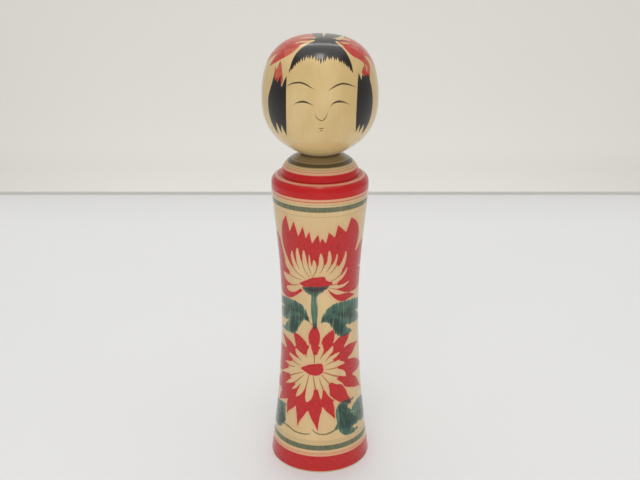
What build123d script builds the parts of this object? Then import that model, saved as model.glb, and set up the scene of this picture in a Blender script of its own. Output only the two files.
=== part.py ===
from build123d import *

from math import acos, degrees
import os

# Turned wooden kokeshi doll whose head turns: two lathe-turned solids on one upright axis.
# Millimetres, +Z up, the face towards -Y, origin at the centre of the circle the doll stands on.
# The head ends in a neck that swells into a tenon. It snaps into an undercut socket in the top of
# the body, where the narrower mouth keeps it in, and a small clearance all round lets it spin.

# Body, from the floor to the shoulder. Outline points are (radius, height).
FOOT_ROUNDING = 0.7
BASE_RADIUS = 28.45
FOOT_SLOPE = -0.125
BODY_OUTLINE = [
    (26.5, 16.3),
    (23.75, 43.3),
    (22.1, 70.0),
    (21.6, 93.0),
    (22.1, 113.0),
    (24.1, 138.7),
    (25.85, 157.0),
]
SHOULDER_RADIUS = 26.2
SHOULDER_START = 164.6
SHOULDER_ROUNDING = 4.6

# Collar: a domed step that rises from the shoulder's ledge to a flat seat for the head.
LEDGE_HEIGHT = SHOULDER_START + SHOULDER_ROUNDING
COLLAR_RADIUS = 21.0
COLLAR_RISE = 12.5
SEAT_RADIUS = 9.2
SEAT_HEIGHT = LEDGE_HEIGHT + COLLAR_RISE * (1 - (SEAT_RADIUS / COLLAR_RADIUS) ** 2) ** 0.5

# Marks that the lathe chuck's prongs leave in the underside.
PRONG_COUNT = 4
PRONG_CENTRE = 6.5
PRONG_LENGTH = 5.0
PRONG_WIDTH = 1.2
PRONG_DEPTH = 1.5

# Head, from under the chin to the crown. SEAT_GAP keeps its flat underside off the body's seat.
HEAD_LOWEST = 178.2
HEAD_OUTLINE = [
    (12.0, 181.5),
    (21.5, 187.6),
    (28.8, 198.4),
    (30.5, 209.8),
    (29.5, 221.5),
    (25.5, 231.7),
    (18.0, 238.6),
    (8.5, 241.6),
]
TOTAL_HEIGHT = 242.0
SEAT_GAP = 0.1

# Neck and tenon, measured down from the seat.
NECK_RADIUS = 6.6
SWELL_RADIUS = 7.2
SWELL_DEPTH = 11.0
TIP_RADIUS = 5.8
TENON_LENGTH = 18.0
NECK_ROOT = 3.0
CLEARANCE = 0.06
SOCKET_END_GAP = 1.2
MOUTH_CHAMFER = 0.5


def turned(half_section):
    """The solid that a closed half-section sweeps about the axis."""
    return revolve(Plane.XZ * make_face(half_section), Axis.Z)


def body_blank():
    """Body before its socket is bored: foot, waisted side, rounded shoulder, ledge and collar."""
    flat_radius = BASE_RADIUS - FOOT_ROUNDING
    shoulder = (SHOULDER_RADIUS, SHOULDER_START)
    rounding_centre = (SHOULDER_RADIUS - SHOULDER_ROUNDING, SHOULDER_START)
    foot = CenterArc((flat_radius, FOOT_ROUNDING), FOOT_ROUNDING, 270, 90)
    side = Spline(foot @ 1, *BODY_OUTLINE, shoulder, tangents=[(FOOT_SLOPE, 1), (0, 1)])
    rounding = CenterArc(rounding_centre, SHOULDER_ROUNDING, 0, 90)
    ledge = Line(rounding @ 1, (COLLAR_RADIUS, LEDGE_HEIGHT))
    collar_turn = degrees(acos(SEAT_RADIUS / COLLAR_RADIUS))
    collar = EllipticalCenterArc((0, LEDGE_HEIGHT), COLLAR_RADIUS, COLLAR_RISE, arc_size=collar_turn)
    inner = Polyline(collar @ 1, (0, SEAT_HEIGHT), (0, 0), foot @ 0)
    return turned(foot + side + rounding + ledge + collar + inner)


def tenon(grow):
    """Neck and tenon from inside the head to the tip, made larger all round by grow."""
    tip = SEAT_HEIGHT - TENON_LENGTH
    root = SEAT_HEIGHT + NECK_ROOT
    swell = Spline(
        (NECK_RADIUS + grow, SEAT_HEIGHT),
        (SWELL_RADIUS + grow, SEAT_HEIGHT - SWELL_DEPTH),
        (TIP_RADIUS + grow, tip),
    )
    rest = Polyline(swell @ 1, (0, tip), (0, root), (NECK_RADIUS + grow, root), swell @ 0)
    return turned(swell + rest)


def socket():
    """Space cut from the body for the tenon, with a gap under the tip and an eased mouth."""
    hanging = (Align.CENTER, Align.CENTER, Align.MAX)
    end_gap = Cylinder(TIP_RADIUS + CLEARANCE, SOCKET_END_GAP, align=hanging)
    bore_radius = NECK_RADIUS + CLEARANCE
    mouth = Cone(bore_radius, bore_radius + MOUTH_CHAMFER, MOUTH_CHAMFER, align=hanging)
    end_place = Pos(0, 0, SEAT_HEIGHT - TENON_LENGTH)
    mouth_place = Pos(0, 0, SEAT_HEIGHT)
    return tenon(CLEARANCE) + end_place * end_gap + mouth_place * mouth


def prong_marks():
    """Narrow slots in the underside, one for each prong, all pointing at the axis."""
    standing = (Align.CENTER, Align.CENTER, Align.MIN)
    slot = Box(PRONG_LENGTH, PRONG_WIDTH, PRONG_DEPTH, align=standing)
    return [place * slot for place in PolarLocations(PRONG_CENTRE, PRONG_COUNT)]


def make_body():
    """Body with its socket and the chuck's marks."""
    return body_blank() - socket() - prong_marks()


def make_head():
    """Head and its tenon, one piece of wood."""
    chin = (0, HEAD_LOWEST)
    crown = (0, TOTAL_HEIGHT)
    outline = Spline(chin, *HEAD_OUTLINE, crown, tangents=[(1, 0), (-1, 0)])
    ball = turned(outline + Line(outline @ 1, outline @ 0))
    underside = Plane((0, 0, SEAT_HEIGHT + SEAT_GAP))
    return split(ball, underside, keep=Keep.TOP) + tenon(0)


PARTS = {"body": make_body(), "head": make_head()}

os.makedirs("parts", exist_ok=True)
for name, solid in PARTS.items():
    solid.label = name
    export_step(solid, f"parts/{name}.step")
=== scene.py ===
import math

import bpy
import numpy as np
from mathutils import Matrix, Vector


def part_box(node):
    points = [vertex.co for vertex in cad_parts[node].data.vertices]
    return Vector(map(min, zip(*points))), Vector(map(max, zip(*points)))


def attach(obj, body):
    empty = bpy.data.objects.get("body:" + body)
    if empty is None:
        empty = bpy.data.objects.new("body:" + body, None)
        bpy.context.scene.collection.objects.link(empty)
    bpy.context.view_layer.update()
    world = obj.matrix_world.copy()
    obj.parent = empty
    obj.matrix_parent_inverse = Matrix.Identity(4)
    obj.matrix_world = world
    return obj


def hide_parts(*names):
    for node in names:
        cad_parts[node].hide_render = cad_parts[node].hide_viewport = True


# Turned wooden kokeshi doll: two lathe-turned pieces carry hand-brushed dye and ink. Each piece is
# one fine lathe mesh. Every brush stroke is worked out as a depth of paint, in millimetres, stored
# on the mesh, and the materials turn that depth into dye soaking into the wood.
# Charts are in millimetres. On the body: across = angle x BODY_WRAP, up = height above the floor.
# On the face: across = angle x FACE_WRAP. On the crown: distance from its pole, laid out flat.
# An angle is 0 at the front and grows towards +X.

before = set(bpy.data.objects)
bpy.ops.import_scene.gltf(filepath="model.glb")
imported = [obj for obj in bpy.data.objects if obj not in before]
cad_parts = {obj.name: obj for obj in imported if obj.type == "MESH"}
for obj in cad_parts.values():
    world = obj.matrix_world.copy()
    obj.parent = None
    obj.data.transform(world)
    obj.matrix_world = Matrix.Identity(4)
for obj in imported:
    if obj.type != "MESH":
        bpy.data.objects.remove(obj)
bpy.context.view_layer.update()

MM = 0.001
BODY_WRAP = 22.0
FACE_WRAP = 28.0
# Depths of paint stop at FAR. Places that can't hold paint are charted at NOWHERE.
FAR = 3.0
NOWHERE = 1e3
# Columns stand closer together out to FRONT_TURN. Edges that turn by more than CREASE stay sharp.
FRONT_TURN = math.radians(110)
CREASE = math.radians(38)
# Share of its length that a hidden run of the outline takes in the bake layout.
HIDDEN_SHARE = 0.2
# Keeps a division from being by zero.
TINY = 1e-9

# Mesh fineness: places apart in millimetres, places on an arc, and columns in front and behind.
SIDE_STEP = 0.6
HEAD_STEP = 0.36
PRONG_STEP = 0.45
BASE_STEP = 2.4
LEDGE_STEP = 0.3
SEAT_STEP = 1.0
BORE_STEP = 1.2
FLOOR_STEP = 3.0
FOOT_PLACES = 5
ROUNDING_PLACES = 18
COLLAR_PLACES = 34
TENON_STEPS = 5
BODY_COLUMNS = (200, 56)
HEAD_COLUMNS = (300, 60)

# Pieces that each span of a stroke, an outline, a fine line and the fringe is split into.
STROKE_STEPS = 6
PATCH_STEPS = 5
LINE_STEPS = 8
FRINGE_STEPS = 12

_, body_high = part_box("body")
head_low, head_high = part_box("head")
BASE_RADIUS = body_high.x / MM
SEAT_HEIGHT = body_high.z / MM
TIP_HEIGHT = head_low.z / MM
TOTAL_HEIGHT = head_high.z / MM

FOOT_ROUNDING = 0.7
SHOULDER = (26.2, 164.6)
SHOULDER_ROUNDING = 4.6
COLLAR_RADIUS = 21.0
COLLAR_RISE = 12.5
SEAT_RADIUS = 9.2
NECK_RADIUS = 6.6
SWELL = (7.2, 11.0)
TIP_RADIUS = 5.8
CLEARANCE = 0.06
SEAT_GAP = 0.1
SOCKET_END_GAP = 1.2
MOUTH_CHAMFER = 0.5
LEDGE_HEIGHT = SHOULDER[1] + SHOULDER_ROUNDING


# ---------------------------------------------------------------- curves and lathe meshes


def hermite(a, b, slope_a, slope_b, steps):
    """Points on a cubic from a towards b, b itself left out. Slopes are per whole span."""
    t = np.linspace(0, 1, steps, endpoint=False)[:, None]
    from_a = a * (1 + 2 * t) * (1 - t) ** 2 + slope_a * t * (1 - t) ** 2
    return from_a + b * t * t * (3 - 2 * t) + slope_b * t * t * (t - 1)


def spline(points, steps):
    """Smooth curve through points, steps pieces a span."""
    pts = np.array(points, float)
    slopes = np.gradient(pts, axis=0)
    rows = []
    for i in range(len(pts) - 1):
        rows.append(hermite(pts[i], pts[i + 1], slopes[i], slopes[i + 1], steps))
    return np.vstack(rows + [pts[-1:]])


def natural_spline(points, step, start, end):
    """Curve with even curvature through points, a place about every step mm. start and end are slopes."""
    pts = np.array(points, float)
    chord = np.r_[0, np.cumsum(np.hypot(*np.diff(pts, axis=0).T))]
    span = np.diff(chord)
    n = len(pts)
    system = np.zeros((n, n))
    right = np.zeros((n, 2))
    system[0, 0] = 1
    right[0] = start
    system[-1, -1] = 1
    right[-1] = end
    for i in range(1, n - 1):
        system[i, i - 1] = 1 / span[i - 1]
        system[i, i] = 2 / span[i - 1] + 2 / span[i]
        system[i, i + 1] = 1 / span[i]
        before = (pts[i] - pts[i - 1]) / span[i - 1] ** 2
        after = (pts[i + 1] - pts[i]) / span[i] ** 2
        right[i] = 3 * (before + after)
    slopes = np.linalg.solve(system, right)
    rows = []
    for i in range(n - 1):
        steps = max(2, round(span[i] / step))
        rows.append(hermite(pts[i], pts[i + 1], slopes[i] * span[i], slopes[i + 1] * span[i], steps))
    return np.vstack(rows + [pts[-1:]])


def line(a, b, step):
    """Points from a to b, about step mm apart."""
    count = max(2, round(math.dist(a, b) / step) + 1)
    return np.linspace(a, b, count)


def arc(centre, radii, start, end, count):
    """Points on an elliptical arc, angles in degrees."""
    turn = np.radians(np.linspace(start, end, count))
    return np.c_[centre[0] + radii[0] * np.cos(turn), centre[1] + radii[1] * np.sin(turn)]


def joined(*runs):
    """One outline from runs that each start where the last one ended."""
    rows = [runs[0]]
    for run in runs[1:]:
        rows.append(run[1:])
    return np.vstack(rows)


def columns(front_count, back_count):
    """Angles round the axis, closer together across the painted front."""
    front = np.linspace(-FRONT_TURN, FRONT_TURN, front_count)
    back = np.linspace(FRONT_TURN, 2 * math.pi - FRONT_TURN, back_count + 2)[1:-1]
    return np.r_[front, back]


def new_object(name, data):
    """Object for a mesh, light or camera, linked into the scene."""
    made = bpy.data.objects.new(name, data)
    bpy.context.scene.collection.objects.link(made)
    return made


class Lathe:
    """Closed mesh turned from a (radius, height) outline whose two ends lie on the axis."""

    def __init__(self, name, outline, angles):
        self.outline = outline
        self.along = np.r_[0, np.cumsum(np.hypot(*np.diff(outline, axis=0).T))]
        rings = outline[1:-1]
        count = len(angles)
        radius = np.repeat(rings[:, 0], count)
        self.turn = np.r_[0, np.tile(angles, len(rings)), 0]
        self.turn = np.where(self.turn > math.pi, self.turn - 2 * math.pi, self.turn)
        self.radius = np.r_[0, radius, 0]
        self.height = np.r_[outline[0, 1], np.repeat(rings[:, 1], count), outline[-1, 1]]
        self.run = np.r_[self.along[0], np.repeat(self.along[1:-1], count), self.along[-1]]
        x = self.radius * np.sin(self.turn)
        y = -self.radius * np.cos(self.turn)
        self.points = np.c_[x, y, self.height]
        self.count = count
        self.rings = len(rings)
        self.name = name

    def run_to(self, height):
        """Length along the outer outline up to a height."""
        outer = (self.along >= self.first_run) & (self.along <= self.last_run)
        return float(np.interp(height, self.outline[outer, 1], self.along[outer]))

    def faces(self):
        """Index rows of the faces: a fan at each pole and quads between the rings."""
        here = np.arange(self.count)
        after = (here + 1) % self.count
        last = 1 + self.rings * self.count
        fans = [(0, int(b) + 1, int(a) + 1) for a, b in zip(here, after)]
        quads = []
        for ring in range(self.rings - 1):
            low = 1 + ring * self.count
            high = low + self.count
            quads.append(np.c_[low + here, low + after, high + after, high + here])
        top = 1 + (self.rings - 1) * self.count
        fans += [(top + int(a), top + int(b), last) for a, b in zip(here, after)]
        return fans, np.vstack(quads)

    def unwrap(self, mesh):
        """Bake layout: across = place round the axis, up = place along the outline."""
        middle = (self.along[1:] + self.along[:-1]) / 2
        hidden = (middle < self.first_run) | (middle > self.last_run)
        up = np.r_[0, np.cumsum(np.diff(self.along) * np.where(hidden, HIDDEN_SHARE, 1))]
        up /= up[-1]
        here = np.arange(self.count) / self.count
        after = here + 1 / self.count
        between = here + 0.5 / self.count

        def corners(*spots):
            """Corner places of one ring of faces, from pairs of across and up."""
            rows = [np.c_[across, np.full(self.count, level)] for across, level in spots]
            return np.stack(rows, axis=1).reshape(-1, 2)

        rows = [corners((between, up[0]), (after, up[1]), (here, up[1]))]
        rows.append(corners((here, up[-2]), (after, up[-2]), (between, up[-1])))
        for low, high in zip(up[1:-2], up[2:-1]):
            rows.append(corners((here, low), (after, low), (after, high), (here, high)))
        layer = mesh.uv_layers.new(name="OFBake")
        layer.data.foreach_set("uv", np.vstack(rows).ravel())

    def build(self, body, node):
        """The Blender object, which rides on its CAD body and stands for the CAD node."""
        fans, quads = self.faces()
        mesh = bpy.data.meshes.new(self.name)
        mesh.from_pydata((self.points * MM).tolist(), [], fans + quads.tolist())
        self.unwrap(mesh)
        mesh.shade_smooth()
        mesh.set_sharp_from_angle(angle=CREASE)
        piece = new_object(self.name, mesh)
        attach(piece, body)
        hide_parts(node)
        return piece


def store(piece, name, values):
    """Keeps one number for each vertex on the mesh."""
    layer = piece.data.attributes.new(name, "FLOAT", "POINT")
    layer.data.foreach_set("value", np.asarray(values, np.float32))


# ---------------------------------------------------------------- brush work


def close_to(chart, points, reach):
    """Which chart points lie within reach of the box round some points."""
    low = points.min(0) - reach
    high = points.max(0) + reach
    return ((chart > low) & (chart < high)).all(1)


def to_segments(places, ends):
    """Distance, side and share along for each place against each segment of a polyline."""
    a = ends[:-1, :2]
    run = ends[1:, :2] - a
    offset = places[:, None, :] - a
    share = np.clip((offset * run).sum(2) / np.maximum((run**2).sum(1), TINY), 0, 1)
    gap = np.linalg.norm(offset - share[..., None] * run, axis=2)
    side = np.sign(run[:, 0] * offset[..., 1] - run[:, 1] * offset[..., 0])
    return gap, side, share


def stroke(chart, path):
    """Depth inside one brush stroke. Path rows are (across, up, half width)."""
    curve = spline(path, STROKE_STEPS)
    depth = np.full(len(chart), -FAR)
    near = close_to(chart, curve[:, :2], curve[:, 2].max() + FAR)
    gap, _, share = to_segments(chart[near], curve)
    width = curve[:-1, 2] + share * np.diff(curve[:, 2])
    depth[near] = (width - gap).max(1)
    return np.maximum(depth, -FAR)


def patch(chart, *runs):
    """Depth inside a closed outline. A run of three or more points is a smooth curve."""
    parts = [spline(run, PATCH_STEPS) if len(run) > 2 else np.array(run, float) for run in runs]
    ring = np.vstack(parts + [parts[0][:1]])
    depth = np.full(len(chart), -FAR)
    near = close_to(chart, ring, FAR)
    places = chart[near]
    gap = to_segments(places, ring)[0].min(1)
    a = ring[:-1]
    b = ring[1:]
    x = places[:, 0:1]
    y = places[:, 1:2]
    straddles = (a[:, 1] > y) != (b[:, 1] > y)
    rise = np.where(b[:, 1] == a[:, 1], TINY, b[:, 1] - a[:, 1])
    crosses = straddles & (x < a[:, 0] + (y - a[:, 1]) * (b[:, 0] - a[:, 0]) / rise)
    inside = crosses.sum(1) % 2 == 1
    depth[near] = np.where(inside, gap, -gap)
    return np.maximum(depth, -FAR)


def union(depths):
    """Depth of everything painted by any of the strokes."""
    return np.maximum.reduce(depths)


def second(depths):
    """Depth where at least two strokes overlap."""
    return np.sort(np.stack(depths), axis=0)[-2]


FADE_START = 0.6
FADE_RATE = 2.2


def fine_lines(chart, paths):
    """Signed distance from the nearest fine line's middle, and its half width there.

    Both are smooth across a line, so a line far thinner than the mesh stays sharp. The half
    width falls away off the line, so that no line appears where one nearest line meets another.
    """
    best = np.full(len(chart), -FAR)
    across = np.full(len(chart), FAR)
    width = np.full(len(chart), -FAR)
    for path in paths:
        curve = spline(path, LINE_STEPS)
        near = close_to(chart, curve[:, :2], FAR)
        index = np.flatnonzero(near)
        gap, side, share = to_segments(chart[near], curve)
        half = curve[:-1, 2] + share * np.diff(curve[:, 2])
        pick = (half - gap).argmax(1)
        row = np.arange(len(index))
        value = (half - gap)[row, pick]
        better = value > best[index]
        chosen = index[better]
        best[chosen] = value[better]
        across[chosen] = (side * gap)[row, pick][better]
        off = np.maximum(gap[row, pick] - FADE_START, 0)
        width[chosen] = (half[row, pick] - FADE_RATE * off)[better]
    return np.clip(across, -FAR, FAR), np.maximum(width, -FAR)


def store_lines(piece, name, chart, paths):
    """Keeps one set of fine lines. Lines that run close together go into different sets."""
    across, width = fine_lines(chart, paths)
    store(piece, name, across)
    store(piece, name + "_width", width)


# ---------------------------------------------------------------- materials


def srgb(red, green, blue):
    """Linear colour from 0-255 display values."""
    shares = [value / 255 for value in (red, green, blue)]
    linear = [s / 12.92 if s <= 0.04045 else ((s + 0.055) / 1.055) ** 2.4 for s in shares]
    return (*linear, 1.0)


class Graph:
    """Short names for the shader nodes used here."""

    def __init__(self, name):
        self.material = bpy.data.materials.new(name)
        self.material.use_nodes = True
        self.tree = self.material.node_tree
        self.tree.nodes.clear()
        output = self.node("OutputMaterial")
        self.shader = self.node("BsdfPrincipled")
        self.tree.links.new(self.shader.outputs["BSDF"], output.inputs["Surface"])
        self.place = self.node("TexCoord").outputs["Object"]

    def put(self, socket, value):
        """Links a socket, or sets its number."""
        if isinstance(value, bpy.types.NodeSocket):
            self.tree.links.new(value, socket)
        elif value is not None:
            socket.default_value = value

    def node(self, kind, *values, **options):
        """New node with its options set and its first sockets linked or given numbers."""
        node = self.tree.nodes.new("ShaderNode" + kind)
        for name, option in options.items():
            setattr(node, name, option)
        for socket, value in zip(node.inputs, values):
            self.put(socket, value)
        return node

    def math(self, operation, a, b=None):
        return self.node("Math", a, b, operation=operation).outputs[0]

    def add(self, a, b):
        return self.math("ADD", a, b)

    def times(self, a, b):
        return self.math("MULTIPLY", a, b)

    def larger(self, a, b):
        return self.math("MAXIMUM", a, b)

    def height(self):
        """Height of the shaded place in its object's own frame, in metres."""
        return self.node("SeparateXYZ", self.place).outputs[2]

    def attribute(self, name):
        return self.node("Attribute", attribute_name=name).outputs["Fac"]

    def noise(self, scale, detail, roughness, upright=1.0):
        """Noise from 0 to 1. scale is in cells per metre, and upright below 1 draws them out in height."""
        mapping = self.node("Mapping", self.place)
        mapping.inputs["Scale"].default_value = (1.0, 1.0, upright)
        node = self.node("TexNoise", mapping.outputs["Vector"])
        node.inputs["Scale"].default_value = scale
        node.inputs["Detail"].default_value = detail
        node.inputs["Roughness"].default_value = roughness
        return node.outputs["Fac"]

    def ramp(self, value, low, high, low_out=0.0, high_out=1.0, smooth=True):
        """Maps low..high to low_out..high_out, held at the ends."""
        curve = "SMOOTHSTEP" if smooth else "LINEAR"
        node = self.node("MapRange", value, low, high, low_out, high_out, interpolation_type=curve)
        return node.outputs["Result"]

    def mix(self, share, a, b):
        """Colour a, with a share of colour b. The colours are the node's seventh and eighth sockets."""
        node = self.node("Mix", share, data_type="RGBA")
        self.put(node.inputs[6], a)
        self.put(node.inputs[7], b)
        return node.outputs[2]

    def bump(self, height, distance):
        node = self.node("Bump")
        node.inputs["Strength"].default_value = 1.0
        node.inputs["Distance"].default_value = distance
        self.put(node.inputs["Height"], height)
        return node.outputs["Normal"]


WOOD = srgb(217, 190, 136)
WOOD_DEEP = srgb(203, 173, 117)
WOOD_PORE = srgb(150, 112, 66)
WOOD_BLUSH = srgb(222, 188, 148)
RED = srgb(192, 34, 34)
RED_DEEP = srgb(171, 22, 24)
SHOULDER_RED = srgb(186, 8, 8)
STAIN = srgb(216, 134, 110)
LEAF = srgb(80, 116, 97)
LEAF_DEEP = srgb(25, 60, 51)
RING_GREEN = srgb(70, 88, 64)
# The collar's tone below is partly the dye of its rings, partly painted shade where the head overhangs the
# collar.
COLLAR_RING_AND_SHADE_TONE = srgb(84, 75, 50)
PLUM = srgb(52, 34, 44)
VEIN = srgb(158, 78, 44)
OLIVE = srgb(104, 98, 58)
INK = srgb(12, 12, 15)
INK_EDGE = srgb(46, 34, 20)
BROW = srgb(40, 24, 6)
LIP = srgb(140, 72, 44)


# Noises: cells per metre, detail, roughness, and how far drawn out in height where they are.
GRAIN = (620, 4, 0.6, 0.05)
CLOUDS = (55, 3, 0.55, 0.45)
PORES = (1500, 1, 0.4, 0.09)
FIBRES = (900, 3, 0.6, 0.35)
STREAKS = (1500, 3, 0.6, 0.05)
RED_MOTTLE = (800, 3, 0.65)
LEAF_PATCHES = (130, 2, 0.5)
RIBBON_MOTTLE = (420, 3, 0.6)
RIBBON_CLOUDS = (190, 3, 0.6)
TOOL_CHATTER = (240, 2, 0.5)
SURFACE_GRAIN = (700, 3, 0.55, 0.06)

# Edges: half the width, in millimetres, over which a painted edge fades.
DYE_EDGE = 0.16
LEAF_EDGE = 0.2
HAIR_EDGE = 0.12
LINE_EDGE = 0.08
STAIN_EDGE = 0.3
RED_RING_EDGE = 0.1
GREEN_RING_EDGE = 0.12

# Ramps: the two noise values or paint depths that a change runs between, and the share at each.
WOOD_RAMP = (0.3, 0.55)
PORE_RAMP = (0.66, 0.78, 0.0)
DRY_BRUSH = (0.4, 0.66, 0.12, -0.5)
THIN_LEAF = (0.56, 0.7, 1.0, 0.7)
THIN_RING = (0.38, 0.62, 1.0, 0.86)
THIN_RIBBON = (0.42, 0.62, 0.97, 0.8)
TWICE_BRUSHED = (-1.0, 1.4, 0.0, 0.6)
LEAF_MIDDLE = (0.0, 2.6, 0.0, 0.3)
DARK_STREAKS = (0.35, 0.6, 0.35, -0.1, False)
DARK_PATCHES = (0.35, 0.65, -0.1, 0.25)
BLEED = (-2.6, 0.2, 0.0, 0.24)
RED_TONES = (0.36, 0.68)
RIBBON_TONES = (0.38, 0.66)
OVER_RED = (-0.9, 1.2, 0.0, 0.9)
INK_DEPTH = (0.0, 0.9)
BODY_ROUGH = (0.3, 0.7, 0.4, 0.5)
HEAD_ROUGH = (0.3, 0.7, 0.4, 0.48)

# Shares of one colour in another, and how strongly the wood's grain shows on each piece.
CLOUD_SHARE = 0.8
PORE_SHARE = 0.25
GRAIN_SPREAD = 0.5
BLUSH_SHARE = 0.35
VEIN_SHARE = 0.85
FEATURE_SHARE = 0.92
INK_SHARE = 0.99
BODY_GRAIN = 0.3
HEAD_GRAIN = 0.16

# Unevenness of brushed edges in millimetres, and how much of it rings and fine lines keep.
BODY_WOBBLE = 0.34
HEAD_WOBBLE = 0.26
BODY_STEADY = 0.3
FACE_STEADY = 0.12
# How much rougher red and green dye is than bare wood, and how much smoother ink is.
DYE_ROUGHNESS = 0.05


def wood_colour(graph, grain_share):
    """Pale waxed hardwood: long faint grain, soft clouds and a few short pores."""
    grain = graph.noise(*GRAIN)
    cloud = graph.noise(*CLOUDS)
    pores = graph.noise(*PORES)
    share = graph.add(graph.times(grain, grain_share), graph.times(cloud, CLOUD_SHARE))
    low, high = WOOD_RAMP
    base = graph.mix(graph.ramp(share, low, high + GRAIN_SPREAD * grain_share), WOOD, WOOD_DEEP)
    return graph.mix(graph.ramp(pores, *PORE_RAMP, PORE_SHARE * grain_share), base, WOOD_PORE)


def edge_wobble(graph, amount):
    """Small uneven offset, in millimetres, that keeps a brushed edge from being ruler sharp."""
    fibres = graph.noise(*FIBRES)
    return graph.times(graph.add(fibres, -0.5), amount)


def soaked(graph, depth, wobble, softness):
    """Share of dye at a painted depth: 0 outside, 1 inside, with a soft uneven edge."""
    return graph.ramp(graph.add(depth, wobble), -softness, softness)


def bands(graph, lathe, rows, wobble, softness):
    """Share of dye from rings turned on the lathe. Rows are (low height, high height, strength)."""
    along = graph.attribute("along")
    total = 0.0
    for low, high, strength in rows:
        first = lathe.run_to(low)
        last = lathe.run_to(high)
        off = graph.math("ABSOLUTE", graph.math("SUBTRACT", along, (first + last) / 2))
        depth = graph.add(graph.math("SUBTRACT", (last - first) / 2, off), wobble)
        total = graph.larger(total, graph.ramp(depth, -softness, softness, 0.0, strength))
    return total


def drawn(graph, name, wobble, softness):
    """Share of a set of fine lines."""
    off = graph.math("ABSOLUTE", graph.attribute(name))
    depth = graph.math("SUBTRACT", graph.attribute(name + "_width"), off)
    return graph.ramp(graph.add(depth, wobble), -softness, softness)


def fine_drawing(graph, wobble):
    """Share of both sets of fine lines."""
    first = drawn(graph, "line_a", wobble, LINE_EDGE)
    return graph.larger(first, drawn(graph, "line_b", wobble, LINE_EDGE))


WAX = {
    "IOR": 1.45,
    "Specular IOR Level": 0.12,
    "Coat Weight": 0.9,
    "Coat Roughness": 0.2,
    "Coat IOR": 1.45,
    "Sheen Weight": 0.12,
    "Sheen Roughness": 0.3,
}
TOOL_PITCH = 0.62
RING_SHARE = 0.3
GRAIN_DEPTH = 0.00001


def wax(graph, rough, normal):
    """Thin wax polish over wood and dye."""
    graph.put(graph.shader.inputs["Roughness"], rough)
    graph.put(graph.shader.inputs["Normal"], normal)
    for name, value in WAX.items():
        graph.shader.inputs[name].default_value = value


def turned_surface(graph):
    """Bump of the wood: faint tool rings along the outline, grain and a low unevenness."""
    rings = graph.math("SINE", graph.times(graph.attribute("along"), 2 * math.pi / TOOL_PITCH))
    rings = graph.times(rings, graph.noise(*TOOL_CHATTER))
    grain = graph.noise(*SURFACE_GRAIN)
    return graph.bump(graph.add(graph.times(rings, RING_SHARE), grain), GRAIN_DEPTH)


# Rings are (low height, high height, strength), in millimetres.
RED_RINGS = [
    (0.75, 9.75, 1), (10.6, 10.9, 0.6), (11.5, 11.8, 0.5), (159.95, 160.5, 0.75), (161.75, 168.35, 1),
    (169.05, 172.8, 1), (174.05, 174.35, 0.5),
]
STAIN_RINGS = [
    (9.6, 10.1, 0.8), (10.5, 11, 0.7), (11.4, 11.9, 0.75), (12.3, 12.6, 0.6), (159.2, 160, 0.3),
    (160.4, 161.8, 0.5), (168.2, 169.2, 0.8), (172.6, 173.2, 0.9), (173.1, 173.9, 0.35),
    (173.95, 174.3, 0.8), (174.3, 175, 0.25),
]
GREEN_RINGS = [
    (13.35, 16.45, 0.96), (16.9, 17.15, 0.5), (17.95, 18.25, 0.6), (19, 19.25, 0.5),
    (152.05, 152.3, 0.4), (154.75, 157.6, 0.94), (158.45, 158.8, 0.5),
]
# The thin collar rings are the collar's own rings. The broad one from 177.5 mm up to the seat, and the last
# one just under the head, are painted shade where the head overhangs the collar.
COLLAR_RINGS_AND_SHADE = [
    (175, 175.35, 0.4), (175.8, 176.3, 0.4), (176.2, 177.65, 1), (177.5, 180.5, 0.6),
    (178.15, 178.7, 0.75), (179, 179.4, 0.72), (179.65, 180.5, 0.85),
]
# Heights where one colour gives way to another, and over how much height.
GROUND_TOP = 28 * MM
SHOULDER_DYE = 158.5 * MM
SHOULDER_BLUR = 3 * MM
LIP_LINE = 202 * MM
BLUR = 2 * MM


def above(graph, level, blur):
    """1 above a height, 0 below it, with a soft change."""
    return graph.ramp(graph.height(), level - blur / 2, level + blur / 2)


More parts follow.
